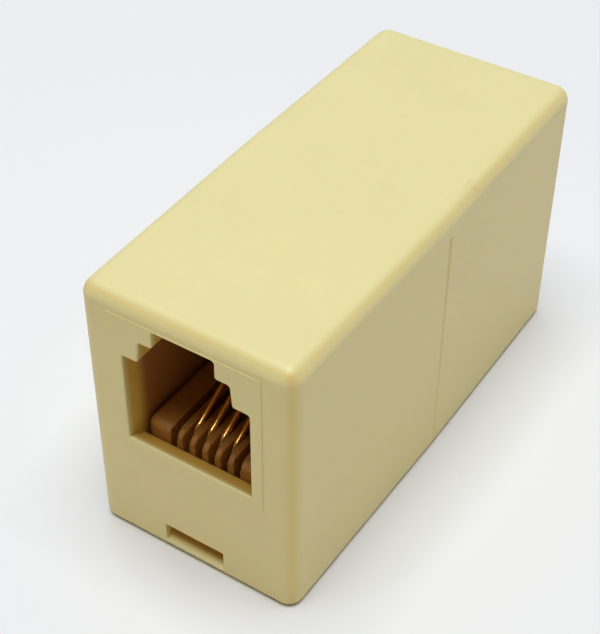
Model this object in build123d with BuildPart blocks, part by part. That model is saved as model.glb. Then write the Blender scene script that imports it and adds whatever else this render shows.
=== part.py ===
from build123d import *
import os

# Telephone inline coupler: two half shells that meet at mid-length, a contact carrier
# that slides into both of them, and four spring wires that wrap round its ends.
# X is the width, Y the length and Z the height. The origin is the middle of the base.

# Outer body, drafted from the seam at mid-length towards each end
body_length = 37.2
body_height = 21.5
seam_width = 16.55
end_width = 16.2
edge_radius = 1.1
base_edge_radius = 0.6

# Walls of a half shell
side_wall = 1.3
top_wall = 1.5
base_wall = 1.05
end_wall = 1.6
inner_corner_radius = 0.5
guide_wall = 1.0
guide_length = 13.2

# Jack opening: main part, two key steps above it, a sill that slopes inwards
jack_width = 9.75
sill_height = 9.6
sill_drop = 1.0
key_foot_width = 7.2
key_head_width = 6.9
key_rise = 1.75
latch_slot_width = 4.7
latch_slot_rise = 1.4
opening_corner_radius = 0.22
mouth_edge_radius = 0.15

# Low pad that stands round the jack opening
pad_margin = 0.9
pad_head_margin = 0.2
pad_raise = 0.05

# Snap window near the base, and the barb behind it
window_width = 4.8
window_height = 1.25
window_lip_rise = 0.4
window_lip_depth = 0.7
barb_width = 4.5
barb_height = 0.6
barb_ramp = 2.0

# Lap joint and side grooves at the seam
lap_length = 1.5
lap_thickness = 0.55
lap_clearance = 0.08
groove_head_drop = 1.8
groove_head_size = 0.2
groove_foot_size = 0.07

# Contact carrier
slide_clearance = 0.1
floor_height = 9.9
floor_thickness = 2.35
web_thickness = 1.1
bar_depth = 1.3
bar_height = 1.4
bar_setback = 0.2
stop_depth = 11.0
stop_wall = 1.4
stop_head_gap = 0.3
tooth_radius = 0.55
carrier_corner_radius = 0.6

# Contact positions and wires
jack_positions = 6
wire_count = 4
contact_pitch = 1.02
wire_diameter = 0.45
slot_clearance = 0.04
wire_setback = 0.95
wire_back_gap = 0.17
floor_groove_depth = 0.9
under_groove_cover = 0.1
guide_slot_depth = 0.9
guide_slot_head = 15.6
wire_angle = 28
wire_knee_drop = 0.45
wire_rise_radius = 1.2
wire_foot_radius = 0.45
wire_end_gap = 0.3

# Sizes worked out from the ones above
half_length = body_length / 2
ceiling = body_height - top_wall
cavity_height = ceiling - base_wall
jack_half = jack_width / 2
key_step_height = ceiling - latch_slot_rise
shoulder_height = key_step_height - key_rise
pad_width = jack_width + 2 * pad_margin
pad_foot = sill_height - pad_margin
pad_head = ceiling + pad_head_margin
end_face = Plane.XZ.offset(half_length)
carrier_width = jack_width - 2 * slide_clearance
carrier_half_length = half_length - end_wall - slide_clearance
floor_under = floor_height - floor_thickness
web_foot = base_wall + slide_clearance
bar_face = carrier_half_length - bar_setback
barb_face = bar_face - bar_depth - slide_clearance
stop_face = half_length - stop_depth
slot_width = wire_diameter + 2 * slot_clearance
comb_depth = wire_setback + wire_diameter / 2 + wire_back_gap
under_groove_depth = wire_diameter + slot_clearance + under_groove_cover
wire_front = carrier_half_length - wire_setback
wire_low = floor_under + under_groove_cover + wire_diameter / 2


def half_shell():
    """The moulding that both shells share, with its end wall towards -Y."""
    with BuildPart() as half:
        # Drafted outside, raised from its plan
        with BuildSketch():
            with BuildLine():
                Polyline(
                    (seam_width / 2, 0),
                    (end_width / 2, -half_length),
                    (-end_width / 2, -half_length),
                    (-seam_width / 2, 0),
                    close=True,
                )
            make_face()
        extrude(amount=body_height)
        top_edges = half.faces().sort_by(Axis.Z)[-1].edges().sort_by(Axis.Y)[:-1]
        corner_edges = half.faces().sort_by(Axis.Y)[0].edges().filter_by(Axis.Z)
        fillet(top_edges + corner_edges, edge_radius)
        base_edges = half.faces().sort_by(Axis.Z)[0].edges().sort_by(Axis.Y)[:-1]
        fillet(base_edges, base_edge_radius)

        # Low pad on the end face
        with BuildSketch(end_face):
            with Locations((0, pad_foot)):
                Rectangle(pad_width, pad_head - pad_foot, align=(Align.CENTER, Align.MIN))
        extrude(amount=pad_raise)

        # Hollow inside, drafted as the outside is
        with BuildSketch(Plane.XZ):
            with Locations((0, base_wall + cavity_height / 2)):
                RectangleRounded(seam_width - 2 * side_wall, cavity_height, inner_corner_radius)
        with BuildSketch(Plane.XZ.offset(half_length - end_wall)):
            with Locations((0, base_wall + cavity_height / 2)):
                RectangleRounded(end_width - 2 * side_wall, cavity_height, inner_corner_radius)
        loft(mode=Mode.SUBTRACT)

        # Guide walls on both sides of the jack opening
        with BuildSketch(Plane.XZ.offset(half_length - end_wall)):
            with Locations((jack_half, base_wall), (-jack_half - guide_wall, base_wall)):
                Rectangle(guide_wall, cavity_height, align=(Align.MIN, Align.MIN))
        extrude(amount=-guide_length)

        # Barb on the base, behind the snap window
        with BuildSketch(Plane.YZ):
            with BuildLine():
                Polyline(
                    (-barb_face, base_wall),
                    (-barb_face, base_wall + barb_height),
                    (barb_ramp - barb_face, base_wall),
                    close=True,
                )
            make_face()
        extrude(amount=barb_width / 2, both=True)

        # Jack opening with its stepped key
        with BuildSketch(end_face.offset(pad_raise)) as opening:
            with BuildLine():
                Polyline(
                    (jack_half, sill_height - sill_drop),
                    (jack_half, shoulder_height),
                    (key_foot_width / 2, shoulder_height),
                    (key_head_width / 2, key_step_height),
                    (latch_slot_width / 2, key_step_height),
                    (latch_slot_width / 2, ceiling),
                    (-latch_slot_width / 2, ceiling),
                    (-latch_slot_width / 2, key_step_height),
                    (-key_head_width / 2, key_step_height),
                    (-key_foot_width / 2, shoulder_height),
                    (-jack_half, shoulder_height),
                    (-jack_half, sill_height - sill_drop),
                    close=True,
                )
            make_face()
            fillet(opening.vertices().filter_by(lambda v: v.Y > sill_height), opening_corner_radius)
        extrude(amount=-end_wall - pad_raise, mode=Mode.SUBTRACT)

        # Sloping sill put back under the opening
        with BuildSketch(Plane.YZ):
            with BuildLine():
                Polyline(
                    (-half_length, sill_height - sill_drop),
                    (-half_length, pad_foot),
                    (-half_length - pad_raise, pad_foot),
                    (-half_length - pad_raise, sill_height),
                    (end_wall - half_length, sill_height - sill_drop),
                    close=True,
                )
            make_face()
        extrude(amount=jack_half, both=True)

        # Soft edge all round the opening
        pad_face = half.faces().sort_by(Axis.Y)[0]
        fillet(pad_face.inner_wires().edges(), mouth_edge_radius)

        # Snap window, with a lip that slopes down to the end face
        with BuildSketch(end_face):
            with Locations((0, base_wall)):
                Rectangle(window_width, window_height, align=(Align.CENTER, Align.MIN))
        extrude(amount=-end_wall, mode=Mode.SUBTRACT)
        with BuildSketch(Plane.YZ):
            with BuildLine():
                Polyline(
                    (-half_length, base_wall - window_lip_rise),
                    (-half_length, base_wall),
                    (window_lip_depth - half_length, base_wall),
                    close=True,
                )
            make_face()
        extrude(amount=window_width / 2, both=True, mode=Mode.SUBTRACT)

        # Side groove along the seam, deepest at its head
        groove_head = body_height - groove_head_drop
        for side in (1, -1):
            for height, size in ((base_edge_radius, groove_foot_size), (groove_head, groove_head_size)):
                with BuildSketch(Plane.XY.offset(height)):
                    with BuildLine():
                        Polyline(
                            (side * seam_width / 2, 0),
                            (side * (seam_width / 2 - size), 0),
                            (side * seam_width / 2, -size),
                            close=True,
                        )
                    make_face()
            loft(mode=Mode.SUBTRACT)
    return half.part


shared_half = half_shell()

# Front shell, with the lip of the lap joint
with BuildPart() as front_shell:
    add(shared_half)
    with BuildSketch(Plane.XZ):
        with Locations((0, base_wall + cavity_height / 2)):
            RectangleRounded(
                seam_width - 2 * side_wall + 2 * lap_thickness,
                cavity_height + 2 * lap_thickness,
                inner_corner_radius + lap_thickness,
            )
            RectangleRounded(
                seam_width - 2 * side_wall, cavity_height, inner_corner_radius, mode=Mode.SUBTRACT
            )
    extrude(amount=-lap_length)
front_shell.part.label = "front_shell"

# Rear shell, with the rebate that takes the lip
with BuildPart() as rear_shell:
    add(mirror(shared_half, about=Plane.XZ))
    with BuildSketch(Plane.XZ):
        with Locations((0, base_wall + cavity_height / 2)):
            RectangleRounded(
                seam_width - 2 * side_wall + 2 * (lap_thickness + lap_clearance),
                cavity_height + 2 * (lap_thickness + lap_clearance),
                inner_corner_radius + lap_thickness + lap_clearance,
            )
    extrude(amount=-lap_length - lap_clearance, mode=Mode.SUBTRACT)
rear_shell.part.label = "rear_shell"

# Contact carrier: floor with a comb at each end, two side webs, two snap bars
# and two stop walls
with BuildPart() as contact_carrier:
    # Block with rounded corners, so that it slides in between the guide walls
    with BuildSketch(Plane.XY.offset(web_foot)):
        Rectangle(carrier_width, 2 * carrier_half_length)
    extrude(amount=floor_height - web_foot)
    fillet(contact_carrier.edges().filter_by(Axis.Z), carrier_corner_radius)
    fillet(contact_carrier.faces().sort_by(Axis.Z)[-1].edges(), tooth_radius)

    # Room under the floor, between the two side webs
    with BuildSketch(Plane.XY.offset(web_foot)):
        Rectangle(carrier_width - 2 * web_thickness, 2 * carrier_half_length)
    extrude(amount=floor_under - web_foot, mode=Mode.SUBTRACT)

    # Snap bars between the webs, held behind the barbs of the shells
    with BuildSketch(Plane.XY.offset(web_foot)):
        with Locations((0, -bar_face), (0, bar_face - bar_depth)):
            Rectangle(carrier_width - web_thickness, bar_depth, align=(Align.CENTER, Align.MIN))
    extrude(amount=bar_height)

    # Stop walls behind each plug
    with BuildSketch(Plane.XY.offset(floor_height - tooth_radius)):
        with Locations((0, -stop_face), (0, stop_face - stop_wall)):
            Rectangle(carrier_width, stop_wall, align=(Align.CENTER, Align.MIN))
    extrude(amount=ceiling - stop_head_gap - floor_height + tooth_radius)

    # Comb slots at both ends
    with BuildSketch(Plane.XY.offset(floor_under)):
        with GridLocations(contact_pitch, 2 * carrier_half_length - comb_depth, jack_positions, 2):
            Rectangle(slot_width, comb_depth)
    extrude(amount=floor_thickness, mode=Mode.SUBTRACT)

    # Grooves in the floor, from each comb to its stop wall
    groove_length = carrier_half_length - stop_face
    with BuildSketch(Plane.XY.offset(floor_height)):
        with GridLocations(contact_pitch, carrier_half_length + stop_face, jack_positions, 2):
            Rectangle(slot_width, groove_length)
    extrude(amount=-floor_groove_depth, mode=Mode.SUBTRACT)

    # Guide slots for the free ends, in the stop walls
    with BuildSketch(Plane.XY.offset(floor_height - floor_groove_depth)):
        with GridLocations(contact_pitch, 2 * stop_face - guide_slot_depth, jack_positions, 2):
            Rectangle(slot_width, guide_slot_depth)
    extrude(amount=guide_slot_head - floor_height + floor_groove_depth, mode=Mode.SUBTRACT)

    # Grooves under the floor, one for each wire
    with BuildSketch(Plane.XY.offset(floor_under)):
        with GridLocations(contact_pitch, 1, wire_count, 1):
            Rectangle(slot_width, 2 * carrier_half_length)
    extrude(amount=under_groove_depth, mode=Mode.SUBTRACT)
contact_carrier.part.label = "contact_carrier"


def contact_wire(place):
    """One spring wire: free end, slope, turn over the comb, run under the floor, and the same back."""
    slope = Vector(1, 0).rotate(Axis.Z, wire_angle)
    knee_height = floor_height - wire_knee_drop
    end_reach = wire_front - stop_face + guide_slot_depth - wire_end_gap
    end_height = knee_height + end_reach * slope.Y / slope.X
    front_half = [
        (end_reach - wire_front, end_height),
        (-wire_front, knee_height),
        (-wire_front, wire_low),
    ]
    rear_half = [(-along, height) for along, height in reversed(front_half)]
    radii = [wire_rise_radius, wire_foot_radius, wire_foot_radius, wire_rise_radius]
    with BuildPart() as wire:
        with BuildLine(Plane.YZ.offset(place)) as path:
            FilletPolyline(*front_half, *rear_half, radius=radii)
        with BuildSketch(path.line ^ 0):
            Circle(wire_diameter / 2)
        sweep()
    return wire.part


# Four wires on the middle positions, numbered from the -X side
wires = []
for number in range(wire_count):
    wire = contact_wire((number - (wire_count - 1) / 2) * contact_pitch)
    wire.label = f"contact_wire_{number + 1}"
    wires.append(wire)

os.makedirs("parts", exist_ok=True)
export_step(front_shell.part, "parts/front_shell.step")
export_step(rear_shell.part, "parts/rear_shell.step")
export_step(contact_carrier.part, "parts/contact_carrier.step")
for wire in wires:
    export_step(wire, f"parts/{wire.label}.step")
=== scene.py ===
"""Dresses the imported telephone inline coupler: shells, contact carrier, plated wires and studio."""
import math

import bmesh
import bpy
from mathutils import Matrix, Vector


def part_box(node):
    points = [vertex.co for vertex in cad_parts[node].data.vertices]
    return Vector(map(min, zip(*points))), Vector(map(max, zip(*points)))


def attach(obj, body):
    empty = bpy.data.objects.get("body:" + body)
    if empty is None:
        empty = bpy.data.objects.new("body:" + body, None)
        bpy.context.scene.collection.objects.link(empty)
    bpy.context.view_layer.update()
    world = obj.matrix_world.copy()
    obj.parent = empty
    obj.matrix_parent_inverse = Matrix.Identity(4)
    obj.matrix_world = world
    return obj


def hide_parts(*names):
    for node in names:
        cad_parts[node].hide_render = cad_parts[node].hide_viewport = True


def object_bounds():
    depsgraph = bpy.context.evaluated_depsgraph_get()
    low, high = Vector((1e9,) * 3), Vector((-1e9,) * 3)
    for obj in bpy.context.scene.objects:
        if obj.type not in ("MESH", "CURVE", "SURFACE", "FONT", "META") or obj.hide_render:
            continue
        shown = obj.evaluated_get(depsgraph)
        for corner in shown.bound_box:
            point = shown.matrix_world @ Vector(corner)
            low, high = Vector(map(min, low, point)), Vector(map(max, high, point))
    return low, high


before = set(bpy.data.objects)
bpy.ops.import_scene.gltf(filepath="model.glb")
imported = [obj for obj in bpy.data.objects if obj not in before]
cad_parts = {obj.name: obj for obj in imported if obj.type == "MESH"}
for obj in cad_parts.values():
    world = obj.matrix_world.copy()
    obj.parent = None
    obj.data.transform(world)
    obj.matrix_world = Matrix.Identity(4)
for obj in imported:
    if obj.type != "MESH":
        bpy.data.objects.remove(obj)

bl_info = {
    "name": "Telephone Inline Coupler",
    "version": (1, 0, 0),
    "blender": (4, 5, 0),
    "location": "3D View > Sidebar > Coupler",
    "description": "Moulded shells, contact carrier, plated wires and a plain studio",
    "category": "Object",
}

MM = 0.001

# The whole coupler
CAD_LOW, CAD_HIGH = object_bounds()
SEAM_HALF_WIDTH = CAD_HIGH.x
END_HALF_WIDTH = 8.1 * MM
END_FACE = 18.6 * MM
TOP = CAD_HIGH.z

# Working on the CAD copies
WELD_DISTANCE = 0.0005 * MM
SHARP_ANGLE = math.radians(32)
BEVEL_SEGMENTS = 3

# The snap window, and how far a point may lie from its rim
WINDOW_HALF_WIDTH = 2.45 * MM
WINDOW_HEAD = 2.3 * MM
RIM_MARGIN = 0.01 * MM

# The comb's teeth lie outside of and above these
COMB_START = 15.4 * MM
COMB_FOOT = 9.05 * MM

# The nick in the top edge, and how far from its corner the edge's round reaches
NICK_HALF_LENGTH = 0.4 * MM
NICK_CUTS = (-1.0, -0.4, 0.4, 1.0)
NICK_FLOOR = 0.7 * NICK_HALF_LENGTH
ROUND_REACH = 0.95 * MM
SIDE_MARGIN = 0.1 * MM
TOP_MARGIN = 0.02 * MM

# The wires
CONTACT_PITCH = 1.02 * MM
WIRE_COUNT = 4
WIRE_KNEE = 9.45 * MM
WIRE_FREE_END = 7.0 * MM
WIRE_SLOPE = math.radians(28)
KNEE_RADIUS = 1.2 * MM
FOOT_RADIUS = 0.45 * MM
RING_POINTS = 20
BEND_STEPS = 10
MIRROR_MERGE = 0.001 * MM

# Depths in the body over which painted shade changes the shells' tone: a warm painted shade on
# rounded edges and rims, then a deep brown painted shade inside the jacks
EDGE_SHADE_DEPTH = 0.65 * MM
HOLLOW_SHADE_START = 1.15 * MM
HOLLOW_SHADE_END = 2.35 * MM
DEPTH_BLEND = 0.6 * MM

# The studio: its floor and light, and the room round it
FLOOR_SIZE = 2.0
FLOOR_DROP = 0.01 * MM
LIGHT_PLACE = (0.04, -0.1, 1.2)
LIGHT_SIDE = 0.8
OPEN_SIDE = Vector((0.45, -0.75, 0.35)).normalized()
HORIZON = (0.08, 0.22)
HORIZON_TONE = 0.75

# The camera
CAMERA_PLACE = (41.467 * MM, -69.656 * MM, 80.418 * MM)
CAMERA_TURN = (math.radians(48.462), math.radians(-0.274), math.radians(33.126))
CAMERA_LENS = 84.23
SENSOR_WIDTH = 36.0
NEAREST_SEEN = 5 * MM


class CouplerShape(bpy.types.PropertyGroup):
    """Sizes of the finishing detail."""

    window_softness: bpy.props.FloatProperty(
        name="Window Softness",
        description="Radius on the edges of the snap window",
        default=0.04 * MM,
        min=0.0,
        subtype="DISTANCE",
        unit="LENGTH",
    )
    tooth_softness: bpy.props.FloatProperty(
        name="Tooth Softness",
        description="Radius on the edges of the comb's teeth",
        default=0.17 * MM,
        min=0.0,
        subtype="DISTANCE",
        unit="LENGTH",
    )
    nick_place: bpy.props.FloatProperty(
        name="Nick Place",
        description="Distance from the seam to the small nick in the rear shell's top edge",
        default=3.7 * MM,
        subtype="DISTANCE",
        unit="LENGTH",
    )
    nick_depth: bpy.props.FloatProperty(
        name="Nick Depth",
        description="How deep the nick goes into the top edge",
        default=0.05 * MM,
        min=0.0,
        subtype="DISTANCE",
        unit="LENGTH",
    )


class CouplerFinish(bpy.types.PropertyGroup):
    """Colours and surface of the mouldings and the wires."""

    ivory: bpy.props.FloatVectorProperty(
        name="Ivory",
        description="Colour of the two shells",
        default=(0.74, 0.685, 0.345),
        min=0.0,
        max=1.0,
        size=3,
        subtype="COLOR",
    )
    # Painted shade: a darker, warmer tone laid on the shells' rounded edges and their openings' rims,
    # where the light falls off
    painted_edge_shade: bpy.props.FloatVectorProperty(
        name="Painted Edge Shade",
        description="Warmer tone of the shells' rounded edges and their openings' rims",
        default=(0.68, 0.46, 0.09),
        min=0.0,
        max=1.0,
        size=3,
        subtype="COLOR",
    )
    # Painted shade: the dark brown laid on the shells' inner surfaces deep in the jacks, where little
    # light reaches
    painted_hollow_shade: bpy.props.FloatVectorProperty(
        name="Painted Hollow Shade",
        description="Colour of the shells' plastic inside, where light only comes through it",
        default=(0.36, 0.15, 0.035),
        min=0.0,
        max=1.0,
        size=3,
        subtype="COLOR",
    )
    carrier_colour: bpy.props.FloatVectorProperty(
        name="Carrier",
        description="Colour of the contact carrier",
        default=(0.42, 0.19, 0.037),
        min=0.0,
        max=1.0,
        size=3,
        subtype="COLOR",
    )
    gold: bpy.props.FloatVectorProperty(
        name="Gold",
        description="Colour of the plating on the wires",
        default=(0.95, 0.6, 0.18),
        min=0.0,
        max=1.0,
        size=3,
        subtype="COLOR",
    )
    shell_roughness: bpy.props.FloatProperty(
        name="Shell Roughness",
        description="Middle roughness of the shells' satin surface",
        default=0.42,
        min=0.0,
        max=1.0,
        subtype="FACTOR",
    )


class CouplerStudio(bpy.types.PropertyGroup):
    """Floor and light."""

    floor_colour: bpy.props.FloatVectorProperty(
        name="Floor",
        description="Colour of the pale floor",
        default=(0.77, 0.793, 0.812),
        min=0.0,
        max=1.0,
        size=3,
        subtype="COLOR",
    )
    bounce_colour: bpy.props.FloatVectorProperty(
        name="Bounce",
        description="Colour of the light that the floor throws up",
        default=(0.74, 0.65, 0.525),
        min=0.0,
        max=1.0,
        size=3,
        subtype="COLOR",
    )
    overhead_power: bpy.props.FloatProperty(
        name="Overhead Power",
        description="Power of the wide soft light above the coupler",
        default=14.4,
        min=0.0,
        unit="POWER",
    )
    room_colour: bpy.props.FloatVectorProperty(
        name="Room",
        description="Even light of the room",
        default=(0.29, 0.3, 0.34),
        min=0.0,
        max=1.0,
        size=3,
        subtype="COLOR",
    )
    shaded_side: bpy.props.FloatVectorProperty(
        name="Shaded Side",
        description="Light of the room's open side, in front of the jack",
        default=(0.12, 0.085, 0.05),
        min=0.0,
        max=1.0,
        size=3,
        subtype="COLOR",
    )


class Socket:
    """An output of a node. Python's operators on it add Math nodes to the same node tree."""

    def __init__(self, sheet, output):
        self.sheet = sheet
        self.output = output

    def math(self, operation, *terms):
        """Any Math node on this socket and the terms."""
        inputs = dict(enumerate((self, *terms)))
        return self.sheet.node("ShaderNodeMath", {"operation": operation}, inputs)

    def __add__(self, other):
        return self.math("ADD", other)

    def __sub__(self, other):
        return self.math("SUBTRACT", other)

    def __rsub__(self, other):
        return self * -1 + other

    def __mul__(self, other):
        return self.math("MULTIPLY", other)

    def __abs__(self):
        return self.math("ABSOLUTE")

    __radd__ = __add__
    __rmul__ = __mul__


class NodeSheet:
    """Adds nodes to one node tree."""

    def __init__(self, tree):
        self.tree = tree

    def node(self, kind, settings, inputs, output=0):
        """Adds a node: its settings first, then its inputs' values or links."""
        made = self.tree.nodes.new(kind)
        for key, value in settings.items():
            setattr(made, key, value)
        self.fill(made, inputs)
        return Socket(self, made.outputs[output])

    def fill(self, node, inputs):
        """Sets or links a node's inputs."""
        for key, value in inputs.items():
            if isinstance(value, Socket):
                self.tree.links.new(value.output, node.inputs[key])
            else:
                node.inputs[key].default_value = value

    def in_view(self):
        """1 where the camera sees a thing, itself or in a gloss or through glass, and else 0."""
        camera = self.node("ShaderNodeLightPath", {}, {}, "Is Camera Ray")
        glossy = self.node("ShaderNodeLightPath", {}, {}, "Is Glossy Ray")
        passed = self.node("ShaderNodeLightPath", {}, {}, "Is Transmission Ray")
        return camera + glossy + passed

    def ramp(self, value, start, end):
        """0 up to start, 1 from end on, and a smooth rise between them."""
        settings = {"interpolation_type": "SMOOTHSTEP"}
        inputs = {"Value": value, "From Min": start, "From Max": end}
        return self.node("ShaderNodeMapRange", settings, inputs)

    def mix(self, factor, first, second):
        """A colour between two colours."""
        inputs = {0: factor, 6: first, 7: second}
        return self.node("ShaderNodeMix", {"data_type": "RGBA"}, inputs, output=2)


class Finish(NodeSheet):
    """A material made of nodes round one Principled shader."""

    def __init__(self, name):
        self.material = bpy.data.materials.new(name)
        self.material.use_nodes = True
        super().__init__(self.material.node_tree)
        self.shader = self.tree.nodes["Principled BSDF"]
        self.place = self.node("ShaderNodeTexCoord", {}, {}, "Object")

    def noise(self, size, detail=2.0, stretch=(1.0, 1.0, 1.0)):
        """Noise between 0 and 1 whose features are about size across."""
        scaled = self.node("ShaderNodeMapping", {}, {"Vector": self.place, "Scale": stretch})
        inputs = {"Vector": scaled, "Scale": 1 / size, "Detail": detail}
        return self.node("ShaderNodeTexNoise", {}, inputs)

    def bump(self, height, distance):
        """A normal from a height between 0 and 1, where 1 stands distance high."""
        return self.node("ShaderNodeBump", {}, {"Height": height, "Distance": distance})

    def depth_in_body(self):
        """How far a point lies inside the coupler's plain outer box; this serves as the mask for the
        shells' painted shade.
        """
        x, y, z = (
            self.node("ShaderNodeSeparateXYZ", {}, {"Vector": self.place}, axis) for axis in "XYZ"
        )
        draft = (SEAM_HALF_WIDTH - END_HALF_WIDTH) / END_FACE
        depth = SEAM_HALF_WIDTH - draft * abs(y) - abs(x)
        for distance in (END_FACE - abs(y), TOP - z, z):
            depth = depth.math("SMOOTH_MIN", distance, DEPTH_BLEND)
        return depth


def shade(colour, factor):
    """A colour made lighter or darker, with its alpha."""
    return (*(min(channel * factor, 1.0) for channel in colour), 1.0)


def shell_plastic(name, colour, edge_shade_colour, hollow_shade_colour, roughness):
    """Satin ivory plastic: faint clouds, a fine grain, painted shade on the rounded edges and rims,
    and a deep painted shade inside.
    """
    finish = Finish(name)
    clouds = finish.noise(5 * MM)
    speckle = finish.noise(0.35 * MM)
    grain = finish.noise(0.09 * MM, detail=3.0)
    tone = clouds * 0.7 + speckle * 0.3
    skin = finish.mix(tone, shade(colour, 0.96), shade(colour, 1.04))
    depth = finish.depth_in_body()
    # Painted shade on rounded edges and rims: the colour turns warmer and darker within a short depth
    # of the outer box
    with_edge_shade = finish.mix(finish.ramp(depth, 0.0, EDGE_SHADE_DEPTH), skin, (*edge_shade_colour, 1.0))
    # Painted shade inside the jacks: deeper in the body the colour turns to a dark brown
    with_hollow_shade = finish.mix(finish.ramp(depth, HOLLOW_SHADE_START, HOLLOW_SHADE_END), with_edge_shade, (*hollow_shade_colour, 1.0))
    finish.fill(
        finish.shader,
        {
            "Base Color": with_hollow_shade,
            "Roughness": (clouds + speckle) * 0.06 + (roughness - 0.06),
            "Normal": finish.bump(grain, 0.0025 * MM),
            "IOR": 1.5,
            "Subsurface Weight": 0.3,
            "Subsurface Radius": (1.0, 0.55, 0.15),
            "Subsurface Scale": 0.2 * MM,
        },
    )
    return finish.material


def carrier_plastic(name, colour):
    """Brown plastic of the contact carrier, duller than the shells."""
    finish = Finish(name)
    clouds = finish.noise(1.6 * MM)
    grain = finish.noise(0.12 * MM, detail=3.0)
    finish.fill(
        finish.shader,
        {
            "Base Color": finish.mix(clouds, shade(colour, 0.9), shade(colour, 1.1)),
            "Roughness": grain * 0.1 + 0.5,
            "Normal": finish.bump(grain, 0.004 * MM),
            "IOR": 1.5,
        },
    )
    return finish.material


def gold_plating(name, colour):
    """Bright plating on drawn wire, with fine draw lines and slightly duller patches."""
    finish = Finish(name)
    draw_lines = finish.noise(0.05 * MM, stretch=(1.0, 0.06, 0.06))
    patches = finish.noise(0.9 * MM)
    finish.fill(
        finish.shader,
        {
            "Base Color": finish.mix(patches, shade(colour, 0.88), shade(colour, 1.04)),
            "Metallic": 1.0,
            "Roughness": patches * 0.12 + 0.16,
            "Normal": finish.bump(draw_lines, 0.0006 * MM),
        },
    )
    return finish.material


def pale_floor(name, colour, bounce_colour):
    """Plain matte floor, whose light on the coupler is warmer than the floor looks."""
    finish = Finish(name)
    tone = finish.noise(80 * MM)
    seen = finish.mix(tone, shade(colour, 0.995), shade(colour, 1.005))
    finish.fill(
        finish.shader,
        {
            "Base Color": finish.mix(finish.in_view(), (*bounce_colour, 1.0), seen),
            "Roughness": 0.9,
            "Specular IOR Level": 0.0,
        },
    )
    return finish.material


def room_light(world, room_colour, shaded_side, floor_colour):
    """An even room, shaded on its open side, that takes on the floor's tone at the horizon."""
    world.use_nodes = True
    world.node_tree.nodes.clear()
    sheet = NodeSheet(world.node_tree)
    direction = sheet.node("ShaderNodeTexCoord", {}, {}, "Generated")
    dot_product = {"operation": "DOT_PRODUCT"}
    inputs = {0: direction, 1: OPEN_SIDE}
    shading = sheet.ramp(sheet.node("ShaderNodeVectorMath", dot_product, inputs, "Value"), 0.0, 0.8)
    walls = sheet.mix(shading, (*room_colour, 1.0), (*shaded_side, 1.0))
    height = sheet.node("ShaderNodeSeparateXYZ", {}, {"Vector": direction}, "Z")
    above_floor = sheet.ramp(height, *HORIZON)
    lit_colour = sheet.mix(above_floor, shade(floor_colour, HORIZON_TONE), walls)
    room = sheet.node("ShaderNodeBackground", {}, {"Color": lit_colour})
    output = world.node_tree.nodes.new("ShaderNodeOutputWorld")
    sheet.fill(output, {"Surface": room})


def pick(piece):
    """Makes a piece the only selected and active object."""
    bpy.ops.object.select_all(action="DESELECT")
    piece.select_set(True)
    bpy.context.view_layer.objects.active = piece


def merged_copy(node, name):
    """A copy of a CAD node with its loose triangles joined."""
    piece = bpy.data.objects.new(name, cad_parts[node].data.copy())
    bpy.context.scene.collection.objects.link(piece)
    pick(piece)
    bpy.ops.mesh.customdata_custom_splitnormals_clear()
    bpy.ops.object.mode_set(mode="EDIT")
    bpy.ops.mesh.select_all(action="SELECT")
    bpy.ops.mesh.remove_doubles(threshold=WELD_DISTANCE)
    bpy.ops.object.mode_set(mode="OBJECT")
    return piece


def round_edges(piece, wanted, radius):
    """Rounds a piece's sharp edges that have both ends where wanted says."""
    pick(piece)
    bpy.ops.object.mode_set(mode="EDIT")
    bpy.ops.mesh.select_mode(type="EDGE")
    bpy.ops.mesh.select_all(action="DESELECT")
    shape = bmesh.from_edit_mesh(piece.data)
    for edge in shape.edges:
        sharp = edge.is_manifold and edge.calc_face_angle() > SHARP_ANGLE
        edge.select = sharp and all(wanted(vertex.co) for vertex in edge.verts)
    shape.select_flush_mode()
    bmesh.update_edit_mesh(piece.data)
    bpy.ops.mesh.bevel(
        offset=radius, segments=BEVEL_SEGMENTS, affect="EDGES", clamp_overlap=False
    )
    bpy.ops.object.mode_set(mode="OBJECT")


def press_nick(piece, place, depth):
    """Presses a small nick into the top edge on the +X side."""
    pick(piece)
    bpy.ops.object.mode_set(mode="EDIT")
    for step in NICK_CUTS:
        bpy.ops.mesh.select_all(action="SELECT")
        cut = (0, place + step * NICK_HALF_LENGTH, 0)
        bpy.ops.mesh.bisect(plane_co=cut, plane_no=(0, 1, 0))
    bpy.ops.mesh.select_mode(type="VERT")
    bpy.ops.mesh.select_all(action="DESELECT")
    shape = bmesh.from_edit_mesh(piece.data)
    for vertex in shape.verts:
        along = abs(vertex.co.y - place) < NICK_FLOOR
        across = SEAM_HALF_WIDTH - ROUND_REACH < vertex.co.x < SEAM_HALF_WIDTH - SIDE_MARGIN
        up = TOP - ROUND_REACH < vertex.co.z < TOP - TOP_MARGIN
        vertex.select = along and across and up
    shape.select_flush_mode()
    bmesh.update_edit_mesh(piece.data)
    bpy.ops.transform.translate(value=(-depth, 0, -depth))
    bpy.ops.object.mode_set(mode="OBJECT")


def finish_piece(piece, material, slot, *nodes):
    """Gives a finished piece its shading, material and place in the frame."""
    pick(piece)
    bpy.ops.object.shade_smooth_by_angle(angle=SHARP_ANGLE)
    level_faces = piece.modifiers.new("Level Faces", "WEIGHTED_NORMAL")
    level_faces.keep_sharp = True
    bpy.ops.object.modifier_apply(modifier=level_faces.name)
    piece.data.materials.clear()
    piece.data.materials.append(material)
    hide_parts(*nodes)
    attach(piece, "root")


def on_window(place):
    """A point on the rim of either snap window, on the end face."""
    level = abs(abs(place.y) - END_FACE) < RIM_MARGIN
    return level and abs(place.x) < WINDOW_HALF_WIDTH and place.z < WINDOW_HEAD + RIM_MARGIN


def on_comb(place):
    """A point on the outer part of either comb's top, where the teeth are."""
    return abs(place.y) > COMB_START and place.z > COMB_FOOT


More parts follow.
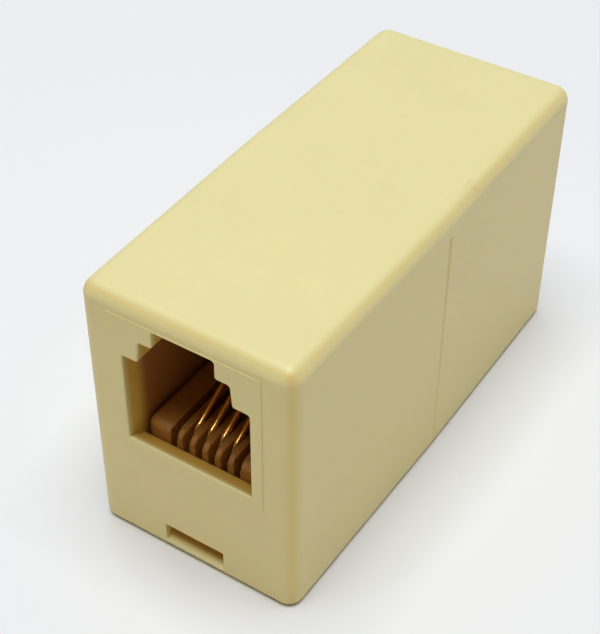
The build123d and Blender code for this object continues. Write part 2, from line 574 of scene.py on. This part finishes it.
class COUPLER_OT_shells(bpy.types.Operator):
    """Makes the two moulded half shells"""

    bl_idname = "coupler.shells"
    bl_label = "Moulded Shells"

    def execute(self, context):
        shape = context.scene.coupler_shape
        finish = context.scene.coupler_finish
        ivory = shell_plastic(
            "ivory_shell",
            finish.ivory,
            finish.painted_edge_shade,
            finish.painted_hollow_shade,
            finish.shell_roughness,
        )
        for node in ("front_shell", "rear_shell"):
            shell = merged_copy(node, f"{node}_moulding")
            round_edges(shell, on_window, shape.window_softness)
            if node == "rear_shell":
                press_nick(shell, shape.nick_place, shape.nick_depth)
            finish_piece(shell, ivory, "housing", node)
        return {"FINISHED"}


class COUPLER_OT_carrier(bpy.types.Operator):
    """Makes the contact carrier with its two combs"""

    bl_idname = "coupler.carrier"
    bl_label = "Contact Carrier"

    def execute(self, context):
        shape = context.scene.coupler_shape
        finish = context.scene.coupler_finish
        carrier = merged_copy("contact_carrier", "contact_carrier_moulding")
        round_edges(carrier, on_comb, shape.tooth_softness)
        plastic = carrier_plastic("carrier_plastic", finish.carrier_colour)
        finish_piece(carrier, plastic, "carrier", "contact_carrier")
        return {"FINISHED"}


def turn(angle, centre):
    """Carries the selected ring round a bend, from +Y towards +Z, about an axis along X."""
    bpy.ops.mesh.spin(steps=BEND_STEPS, angle=angle, center=centre, axis=(-1, 0, 0))


def spring_wire(name, node):
    """One wire: free end, slope, knee, drop, foot and run under the floor, and the same back."""
    low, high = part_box(node)
    radius = (high.x - low.x) / 2
    middle = (low.x + high.x) / 2
    front = low.y + radius
    under = low.z + radius
    downhill = Vector((0, -math.cos(WIRE_SLOPE), -math.sin(WIRE_SLOPE)))
    knee = Vector((middle, front, WIRE_KNEE))
    knee_turn = math.pi / 2 - WIRE_SLOPE
    knee_start = knee - downhill * KNEE_RADIUS * math.tan(knee_turn / 2)
    knee_end = knee.z - KNEE_RADIUS * math.tan(knee_turn / 2)
    slope_length = (-WIRE_FREE_END - knee_start.y) / math.cos(WIRE_SLOPE)
    foot_start = under + FOOT_RADIUS

    # A ring at the free end, facing up the slope
    bpy.ops.object.select_all(action="DESELECT")
    bpy.ops.mesh.primitive_circle_add(
        vertices=RING_POINTS,
        radius=radius,
        location=knee_start - downhill * slope_length,
        rotation=(WIRE_SLOPE - math.pi / 2, 0, 0),
    )
    wire = bpy.context.object
    wire.name = name

    # Down the slope, round the knee, down, round the foot and along under the floor
    bpy.ops.object.mode_set(mode="EDIT")
    bpy.ops.mesh.select_all(action="SELECT")
    bpy.ops.mesh.extrude_region_move(TRANSFORM_OT_translate={"value": downhill * slope_length})
    turn(knee_turn, (middle, front + KNEE_RADIUS, knee_end))
    bpy.ops.mesh.extrude_region_move(
        TRANSFORM_OT_translate={"value": (0, 0, foot_start - knee_end)}
    )
    turn(math.pi / 2, (middle, front + FOOT_RADIUS, foot_start))
    bpy.ops.mesh.extrude_region_move(
        TRANSFORM_OT_translate={"value": (0, -front - FOOT_RADIUS, 0)}
    )
    bpy.ops.object.mode_set(mode="OBJECT")
    bpy.ops.object.transform_apply(location=True, rotation=True, scale=True)

    # The other half, and the cut ends closed
    mirror = wire.modifiers.new("Rear Half", "MIRROR")
    mirror.use_axis = (False, True, False)
    mirror.merge_threshold = MIRROR_MERGE
    bpy.ops.object.modifier_apply(modifier=mirror.name)
    bpy.ops.object.mode_set(mode="EDIT")
    bpy.ops.mesh.select_mode(type="EDGE")
    bpy.ops.mesh.select_all(action="DESELECT")
    bpy.ops.mesh.select_non_manifold()
    bpy.ops.mesh.fill_holes(sides=0)
    bpy.ops.mesh.select_all(action="SELECT")
    bpy.ops.mesh.normals_make_consistent(inside=False)
    bpy.ops.object.mode_set(mode="OBJECT")
    return wire


class COUPLER_OT_wires(bpy.types.Operator):
    """Makes the four plated spring wires"""

    bl_idname = "coupler.wires"
    bl_label = "Spring Wires"

    def execute(self, context):
        finish = context.scene.coupler_finish
        gold = gold_plating("gold_plating", finish.gold)
        wires = [spring_wire("contact_wire_1_spring", "contact_wire_1")]
        for number in range(2, WIRE_COUNT + 1):
            pick(wires[-1])
            bpy.ops.object.duplicate()
            bpy.ops.transform.translate(value=(CONTACT_PITCH, 0, 0))
            bpy.ops.object.transform_apply(location=True, rotation=False, scale=False)
            copied = context.object
            copied.name = f"contact_wire_{number}_spring"
            wires.append(copied)
        for number, wire in enumerate(wires, start=1):
            finish_piece(wire, gold, "contact", f"contact_wire_{number}")
        return {"FINISHED"}


class COUPLER_OT_stage(bpy.types.Operator):
    """Makes the floor, the light and the camera"""

    bl_idname = "coupler.stage"
    bl_label = "Floor, Light and Camera"

    def execute(self, context):
        studio = context.scene.coupler_studio
        bpy.ops.object.select_all(action="DESELECT")
        bpy.ops.mesh.primitive_plane_add(size=FLOOR_SIZE, location=(0, 0, -FLOOR_DROP))
        floor = context.object
        floor.name = "floor"
        floor.data.materials.append(
            pale_floor("pale_floor", studio.floor_colour, studio.bounce_colour)
        )

        bpy.ops.object.light_add(type="AREA", location=LIGHT_PLACE)
        overhead = context.object
        overhead.name = "overhead_light"
        overhead.data.shape = "SQUARE"
        overhead.data.size = LIGHT_SIDE
        overhead.data.energy = studio.overhead_power

        context.scene.world = bpy.data.worlds.new("room")
        room_light(
            context.scene.world, studio.room_colour, studio.shaded_side, studio.floor_colour
        )

        bpy.ops.object.camera_add(location=CAMERA_PLACE, rotation=CAMERA_TURN)
        camera = context.object
        camera.data.sensor_width = SENSOR_WIDTH
        camera.data.lens = CAMERA_LENS
        camera.data.clip_start = NEAREST_SEEN
        context.scene.camera = camera
        context.scene.view_settings.view_transform = "Standard"
        return {"FINISHED"}


PIECES = (COUPLER_OT_shells, COUPLER_OT_carrier, COUPLER_OT_wires, COUPLER_OT_stage)
SETTINGS = {
    "coupler_shape": CouplerShape,
    "coupler_finish": CouplerFinish,
    "coupler_studio": CouplerStudio,
}


class COUPLER_PT_sidebar(bpy.types.Panel):
    """Lists the pieces of the coupler and their settings"""

    bl_label = "Inline Coupler"
    bl_space_type = "VIEW_3D"
    bl_region_type = "UI"
    bl_category = "Coupler"

    def draw(self, context):
        for operator in PIECES:
            self.layout.operator(operator.bl_idname)
        for name, group in SETTINGS.items():
            box = self.layout.box()
            for setting in group.__annotations__:
                box.prop(getattr(context.scene, name), setting)


def register():
    for group in (*SETTINGS.values(), *PIECES, COUPLER_PT_sidebar):
        bpy.utils.register_class(group)
    for name, group in SETTINGS.items():
        setattr(bpy.types.Scene, name, bpy.props.PointerProperty(type=group))


def unregister():
    for name in SETTINGS:
        delattr(bpy.types.Scene, name)
    for group in (COUPLER_PT_sidebar, *PIECES, *SETTINGS.values()):
        bpy.utils.unregister_class(group)


def main():
    register()
    bpy.ops.coupler.shells()
    bpy.ops.coupler.carrier()
    bpy.ops.coupler.wires()
    bpy.ops.coupler.stage()


if __name__ == "__main__":
    main()
